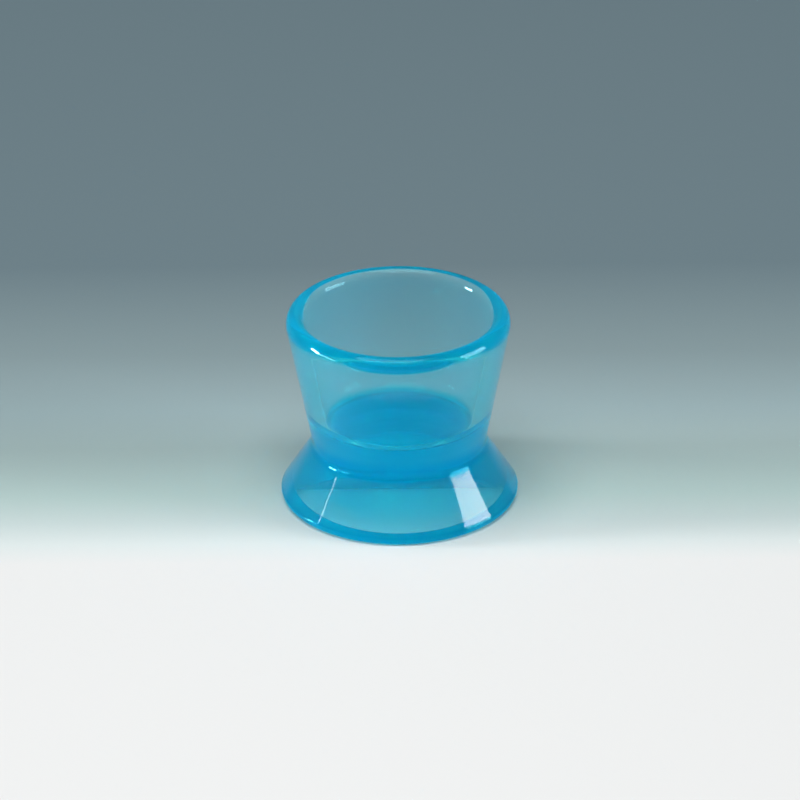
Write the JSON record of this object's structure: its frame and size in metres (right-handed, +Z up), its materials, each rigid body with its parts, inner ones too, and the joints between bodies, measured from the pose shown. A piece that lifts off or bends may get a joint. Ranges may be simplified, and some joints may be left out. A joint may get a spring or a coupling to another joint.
{
  "type": "flexible mixing bowl",
  "caption": "Small flared mixing bowl moulded in translucent blue silicone, with a thick rounded rim, a solid waist and a flared foot whose domed hollow lets it give when pressed.",
  "frame": {"origin": "on the axis of the bowl, in the plane that the foot stands on", "axes": "+Z up along the axis of the bowl; X and Y are alike, because the bowl is round"},
  "size_m": [0.048, 0.048, 0.0404],
  "materials": {
    "silicone": "glossy translucent blue silicone, deeper in colour where it is thick"
  },
  "bodies": {
    "foot": {"foot_lip": "silicone", "foot_skirt": "silicone"},
    "bowl": {"foot_crown": "silicone", "bowl_floor": "silicone", "bowl_wall": "silicone", "rim_bead": "silicone"}
  },
  "joints": [
    {"name": "foot_press", "type": "slide", "parent": "foot", "child": "bowl", "axis": [0, 0, 1], "range_m": [-0.002, 0], "stiffness_N_per_m": 8000, "deforming": ["foot_skirt"]}
  ]
}
